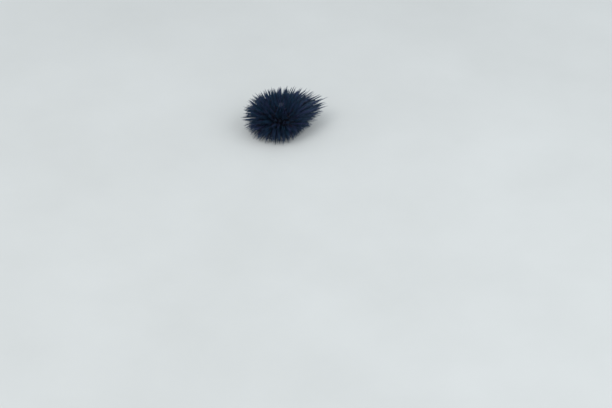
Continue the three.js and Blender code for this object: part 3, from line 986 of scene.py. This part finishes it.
def mouth_feet_piece(material):
    """The ten short tube feet round the mouth and the ten bushy gills at the membrane's edge."""
    lines = [buccal_foot(azimuth) for azimuth in buccal_azimuths()]
    radii = [FOOT_RADII * BUCCAL_WIDTH for _ in lines]
    for middle in RAY_MIDDLES:
        for offset in (-GILL_OFFSET, GILL_OFFSET):
            root = radial_at(middle + offset) * GILL_RING + (0, 0, MOUTH_LOW + 1.0)
            for _ in range(GILL_FINGERS):
                way = unit(unit(root * (1, 1, 0)) * 0.5 + random.normal(0, 0.5, 3) - (0, 0, 1))
                lines.append(root + way * draw(*GILL_LENGTHS) * FOOT_STATIONS[:, None])
                radii.append(GILL_PROFILE * draw(*GILL_WIDTHS))
    still = np.zeros(len(lines))
    points, quads, tris, stride = swept(np.array(lines), np.array(radii), MOUTH_FOOT_SIDES, still)
    piece = mesh_object("mouth_feet_and_gills", points, quads, tris, material, "mouth_membrane")
    add_values(piece, "tint", np.repeat(random.random(len(lines)), stride))


def lip_piece(material):
    """The fleshy lip round the teeth."""
    azimuths = np.arange(LIP_COLUMNS) * 360 / LIP_COLUMNS
    rings, heights = (all_round(column, len(azimuths)) for column in np.array(LIP_PROFILE).T)
    heights[1:6] += np.sin(np.radians(azimuths) * LIP_FOLDS) * FOLD_DEPTH
    faces = revolved(rings, heights, azimuths, closed=False)
    return mesh_object("mouth_lip", *faces, material, "mouth_membrane")


# Teeth, with the height and width of their keels
TOOTH_ROWS = 14
TOOTH_SIDES = 12
TOOTH_RING = 1.75
TOOTH_CLOSING = 1.35
TOOTH_TOP = MOUTH_LOW + 1.6
TOOTH_LENGTH = 4.6
TOOTH_WIDTH = 0.82
TOOTH_DEPTH = 0.34
TOOTH_LEAST = 0.05
TOOTH_POINT = 0.08
KEEL = (0.7, 0.5)


def tooth_points(azimuth):
    """Rings of a curved, keeled tooth that tapers to a chisel point."""
    stations = np.linspace(0, 1, TOOTH_ROWS)
    corner = steps_round(TOOTH_SIDES)
    ring = TOOTH_RING - TOOTH_CLOSING * stations**1.4
    height = TOOTH_TOP - TOOTH_LENGTH * stations
    width = TOOTH_WIDTH * (1 - stations**2.2) + TOOTH_LEAST
    depth = TOOTH_DEPTH * (1 - stations**3) + TOOTH_LEAST
    keel = 1 + groove(np.abs(corner - np.pi), *KEEL)
    radial = ring[:, None] + depth[:, None] * np.cos(corner) * keel
    side = width[:, None] * np.sin(corner)
    a = radians(azimuth)
    x = radial * cos(a) - side * sin(a)
    y = radial * sin(a) + side * cos(a)
    return np.stack([x, y, all_round(height, TOOTH_SIDES)], axis=-1)


def teeth_piece(material):
    """The five teeth of the lantern, closing on one another."""
    points, quads, tris = [], [], []
    for azimuth in BETWEEN_RAYS:
        grid = tooth_points(azimuth)
        start = sum(len(p) for p in points)
        # The rings run downward, so the faces are turned round
        sides, ends = tube_faces(TOOTH_ROWS, TOOTH_SIDES)
        quads.append(start + sides[:, [1, 0, 3, 2]])
        tris.append(start + ends[:, [0, 2, 1]])
        point = grid[-1:].mean(1) - (0, 0, TOOTH_POINT)
        points.append(np.concatenate([grid.reshape(-1, 3), grid[:1].mean(1), point]))
    points, quads, tris = (np.concatenate(part) for part in (points, quads, tris))
    return mesh_object("teeth", points, quads, tris, material, "teeth")


# Materials. The scales of their patterns are in repeats per metre
NOISE_ROUGHNESS = 0.55


class Paint:
    """A procedural material: a principled shader with helpers for the nodes that feed it."""

    def __init__(self, name, specular=0.5, subsurface=0.0):
        self.material = bpy.data.materials.new(name)
        self.material.use_nodes = True
        self.nodes = self.material.node_tree.nodes
        self.link = self.material.node_tree.links.new
        self.shader = self.nodes["Principled BSDF"]
        self.shader.inputs["Specular IOR Level"].default_value = specular
        self.shader.inputs["Subsurface Weight"].default_value = subsurface
        self.place = self.nodes.new("ShaderNodeTexCoord").outputs["Object"]

    def node(self, kind, values):
        """A new node of a kind, with values for its sockets by name."""
        node = self.nodes.new(kind)
        for name, value in values.items():
            node.inputs[name].default_value = value
        return node

    def value(self, name):
        node = self.nodes.new("ShaderNodeAttribute")
        node.attribute_name = name
        return node.outputs["Fac"]

    def noise(self, scale, detail=4.0):
        values = {"Scale": scale, "Detail": detail, "Roughness": NOISE_ROUGHNESS}
        node = self.node("ShaderNodeTexNoise", values)
        self.link(self.place, node.inputs["Vector"])
        return node.outputs["Fac"]

    def cells(self, scale):
        node = self.node("ShaderNodeTexVoronoi", {"Scale": scale})
        node.feature = "DISTANCE_TO_EDGE"
        self.link(self.place, node.inputs["Vector"])
        return node.outputs["Distance"]

    def ramp(self, source, stops):
        node = self.nodes.new("ShaderNodeValToRGB")
        bar = node.color_ramp
        while len(bar.elements) < len(stops):
            bar.elements.new(0.5)
        for element, (place, colour) in zip(bar.elements, stops):
            element.position = place
            element.color = (*colour, 1.0)
        self.link(source, node.inputs["Fac"])
        return node.outputs["Color"]

    def shade(self, source, low, darkest, high):
        """A grey from the darkest, at the low value of a pattern, up to white at its high value."""
        return self.ramp(source, ((low, (darkest,) * 3), (high, (1.0,) * 3)))

    def mixed(self, first, second, kind):
        node = self.nodes.new("ShaderNodeMix")
        node.data_type = "RGBA"
        node.blend_type = kind
        node.inputs["Factor"].default_value = 1.0
        self.link(first, node.inputs["A"])
        self.link(second, node.inputs["B"])
        return node.outputs["Result"]

    def spread(self, source, low, high):
        """A number from low to high over the middle of a pattern."""
        values = {"From Min": 0.3, "From Max": 0.7, "To Min": low, "To Max": high}
        node = self.node("ShaderNodeMapRange", values)
        self.link(source, node.inputs["Value"])
        return node.outputs["Result"]

    def finish(self, colour, roughness, relief, strength, depth):
        self.link(colour, self.shader.inputs["Base Color"])
        self.link(roughness, self.shader.inputs["Roughness"])
        bump = self.node("ShaderNodeBump", {"Strength": strength, "Distance": depth * MM})
        self.link(relief, bump.inputs["Height"])
        self.link(bump.outputs["Normal"], self.shader.inputs["Normal"])
        return self.material


def spine_paint(name, dark, blue, violet, tip):
    """Near-black spines, each of its own tint, a little more violet towards the point, with painted shade in
    the grooves between the ribs and painted light on the ridges.
    """
    paint = Paint(name, specular=0.22)
    tint = paint.ramp(paint.value("tint"), ((0.0, dark), (0.55, blue), (1.0, violet)))
    shade = paint.shade(paint.noise(900.0), 0.3, 0.72, 0.7)
    # Painted shade in the grooves between the ribs, and painted light on the ridges
    painted_furrow_shade = paint.ramp(paint.value("painted_furrow_shade"), ((0.15, (1.12, 1.12, 1.12)), (0.95, (0.6, 0.6, 0.64))))
    body = paint.mixed(paint.mixed(tint, shade, "MULTIPLY"), painted_furrow_shade, "MULTIPLY")
    end = paint.ramp(paint.value("along"), ((0.0, (0.0, 0.0, 0.0)), (1.0, tip)))
    colour = paint.mixed(body, end, "ADD")
    gloss = paint.spread(paint.noise(600.0), 0.32, 0.55)
    return paint.finish(colour, gloss, paint.noise(2600.0), 0.35, 0.06)


def flesh_paint(name, low, middle, high, tinted=False):
    """Soft skin: three tints in blotches, over a fine wrinkled relief."""
    paint = Paint(name, specular=0.3)
    source = paint.value("tint") if tinted else paint.noise(420.0, 5.0)
    tint = paint.ramp(source, ((0.3, low), (0.5, middle), (0.75, high)))
    shade = paint.shade(paint.noise(1500.0), 0.3, 0.65, 0.7)
    colour = paint.mixed(tint, shade, "MULTIPLY")
    gloss = paint.spread(paint.noise(800.0), 0.45, 0.7)
    return paint.finish(colour, gloss, paint.noise(2200.0, 6.0), 0.5, 0.12)


def plate_paint(name, low, high, pore_scale):
    """Chalky plates: mottled, with fine pores."""
    paint = Paint(name, specular=0.3)
    tint = paint.ramp(paint.noise(700.0, 5.0), ((0.35, low), (0.68, high)))
    pores = paint.shade(paint.cells(pore_scale), 0.0, 0.6, 0.12)
    colour = paint.mixed(tint, pores, "MULTIPLY")
    gloss = paint.spread(paint.noise(900.0), 0.5, 0.75)
    return paint.finish(colour, gloss, paint.cells(pore_scale), 0.4, 0.08)


def ivory_paint(low, high):
    paint = Paint("tooth_ivory", specular=0.5, subsurface=0.1)
    tint = paint.ramp(paint.noise(500.0), ((0.3, low), (0.7, high)))
    gloss = paint.spread(paint.noise(700.0), 0.22, 0.4)
    return paint.finish(tint, gloss, paint.noise(1800.0), 0.25, 0.05)


# The stage: floor, lights and camera
LOOK_ELEVATION = 36.2
SCALE_MM = 1.12
FRAME_PIXELS = (612, 408)
BODY_PIXEL = (281, 114)
BODY_HEIGHT = 20.0
LENS = 135.0
SENSOR = 36.0
CLIP_START = 0.01
FLOOR_SIZE = 6.0
FLOOR_TINTS = ((0.6, 0.6, 0.575), (0.64, 0.64, 0.615))
SKY_COLOUR = (0.86, 0.93, 1.0, 1.0)
SKY_STRENGTH = 0.8

# Name, place, size, watts and colour of each lamp
LAMPS = (
    ("key_light", (-0.7, -0.5, 1.3), 0.9, 7.5, (0.97, 0.985, 1.0)),
    ("fill_light", (0.9, -0.4, 0.8), 1.0, 5.0, (0.9, 0.95, 1.0)),
)


def floor_piece():
    bpy.ops.mesh.primitive_plane_add(size=FLOOR_SIZE, location=(0, 0, 0))
    floor = bpy.context.object
    floor.name = "floor"
    paint = Paint("floor_paint", specular=0.2)
    tint = paint.ramp(paint.noise(6.0), ((0.3, FLOOR_TINTS[0]), (0.7, FLOOR_TINTS[1])))
    gloss = paint.spread(paint.noise(8.0), 0.75, 0.85)
    floor.data.materials.append(paint.finish(tint, gloss, paint.noise(60.0), 0.1, 0.5))


def area_light(name, place, size, watts, colour):
    data = bpy.data.lights.new(name, "AREA")
    data.size = size
    data.energy = watts
    data.color = colour
    lamp = new_object(name, data)
    lamp.location = place
    lamp.rotation_euler = (-Vector(place)).to_track_quat("-Z", "Y").to_euler()


def lights():
    world = bpy.data.worlds.new("studio")
    bpy.context.scene.world = world
    world.use_nodes = True
    background = world.node_tree.nodes["Background"]
    background.inputs["Color"].default_value = SKY_COLOUR
    background.inputs["Strength"].default_value = SKY_STRENGTH
    for lamp in LAMPS:
        area_light(*lamp)


def camera():
    """A long lens above the floor, with the animal at its place in the photograph's frame."""
    elevation = radians(LOOK_ELEVATION)
    back = Vector((0, -cos(elevation), sin(elevation)))
    right = Vector((1, 0, 0))
    up = back.cross(right)
    offset_right = (FRAME_PIXELS[0] / 2 - BODY_PIXEL[0]) * SCALE_MM * MM
    offset_up = -(FRAME_PIXELS[1] / 2 - BODY_PIXEL[1]) * SCALE_MM * MM
    body = Vector((AXIS.x, AXIS.y, BODY_HEIGHT * MM))
    aim = body + right * offset_right + up * offset_up
    distance = FRAME_PIXELS[0] * SCALE_MM * MM * LENS / SENSOR
    data = bpy.data.cameras.new("camera")
    data.lens = LENS
    data.sensor_width = SENSOR
    data.clip_start = CLIP_START
    eye = new_object("camera", data)
    eye.location = aim + back * distance
    eye.rotation_euler = back.to_track_quat("Z", "Y").to_euler()
    bpy.context.scene.camera = eye


# Tints of each material, from the darkest to the palest; a spine's last is added towards its tip
LONG_TINTS = ((0.01, 0.032, 0.056), (0.013, 0.054, 0.1), (0.035, 0.042, 0.112), (0.006, 0.003, 0.01))
SHORT_TINTS = ((0.009, 0.03, 0.054), (0.013, 0.054, 0.098), (0.038, 0.044, 0.112), (0.008, 0.004, 0.012))
FLESH_TINTS = ((0.006, 0.006, 0.012), (0.011, 0.01, 0.02), (0.02, 0.012, 0.024))
COLLAR_TINTS = ((0.005, 0.006, 0.012), (0.01, 0.01, 0.02), (0.02, 0.011, 0.028))
FOOT_TINTS = ((0.012, 0.006, 0.013), (0.022, 0.01, 0.017), (0.034, 0.016, 0.021))
PINCER_TINTS = ((0.02, 0.016, 0.028), (0.034, 0.026, 0.042), (0.06, 0.047, 0.068))
MOUTH_TINTS = ((0.06, 0.02, 0.024), (0.11, 0.04, 0.04), (0.2, 0.09, 0.075))
MOUTH_TIP_TINTS = ((0.09, 0.03, 0.03), (0.16, 0.06, 0.05), (0.26, 0.12, 0.09))
DISC_TINTS = ((0.02, 0.026, 0.046), (0.055, 0.064, 0.098))
VENT_TINTS = ((0.058, 0.074, 0.1), (0.17, 0.2, 0.25))
IVORY_TINTS = ((0.62, 0.56, 0.44), (0.85, 0.82, 0.74))
DISC_PORES = 2600.0
VENT_PORES = 1800.0


def coat(forest):
    """The skin with all that stands on it, in place of the ten sectors."""
    long_paint = spine_paint("long_spine", *LONG_TINTS)
    short_paint = spine_paint("short_spine", *SHORT_TINTS)
    skin = skin_piece(forest, flesh_paint("dark_flesh", *FLESH_TINTS))
    for ray in range(1, RAYS + 1):
        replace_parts(skin, f"ambulacrum_{ray}", f"interambulacrum_{ray}")
    long, small = forest.of_kind("primary"), forest.of_kind("miliary")
    middle, left = forest.of_kind("secondary"), forest.roots[:, 0] < 0
    spine_piece("long_spines", forest, long, SPINE_PROFILE, LONG_SIDES, RIB_DEPTH, long_paint)
    for name, half in (("middle_spines_left", left), ("middle_spines_right", ~left)):
        chosen = middle & half
        spine_piece(name, forest, chosen, SPINE_PROFILE, MIDDLE_SIDES, RIB_DEPTH, short_paint)
    rib = SMALL_RIB_DEPTH
    spine_piece("small_spines", forest, small, MILIARY_PROFILE, SMALL_SIDES, rib, short_paint)
    collar_piece(forest, flesh_paint("collar_flesh", *COLLAR_TINTS, tinted=True))
    tube_feet_piece(flesh_paint("tube_foot", *FOOT_TINTS, tinted=True))
    pincer_piece(forest, flesh_paint("pincer", *PINCER_TINTS, tinted=True))


def urchin():
    forest = Forest()
    plant_primaries(forest)
    plant_on_disc(forest)
    plant_between(forest, "secondary")
    plant_between(forest, "miliary")
    coat(forest)
    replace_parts(disc_piece(plate_paint("disc_plate", *DISC_TINTS, DISC_PORES)), "apical_disc")
    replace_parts(periproct_piece(plate_paint("vent_plate", *VENT_TINTS, VENT_PORES)), "periproct")
    mouth = flesh_paint("mouth_flesh", *MOUTH_TINTS)
    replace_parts(membrane_piece(mouth), "peristome")
    lip_piece(mouth)
    mouth_feet_piece(flesh_paint("mouth_tips", *MOUTH_TIP_TINTS, tinted=True))
    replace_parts(teeth_piece(ivory_paint(*IVORY_TINTS)), "lantern_teeth")


urchin()
floor_piece()
lights()
camera()
bpy.context.scene.view_settings.view_transform = "Standard"
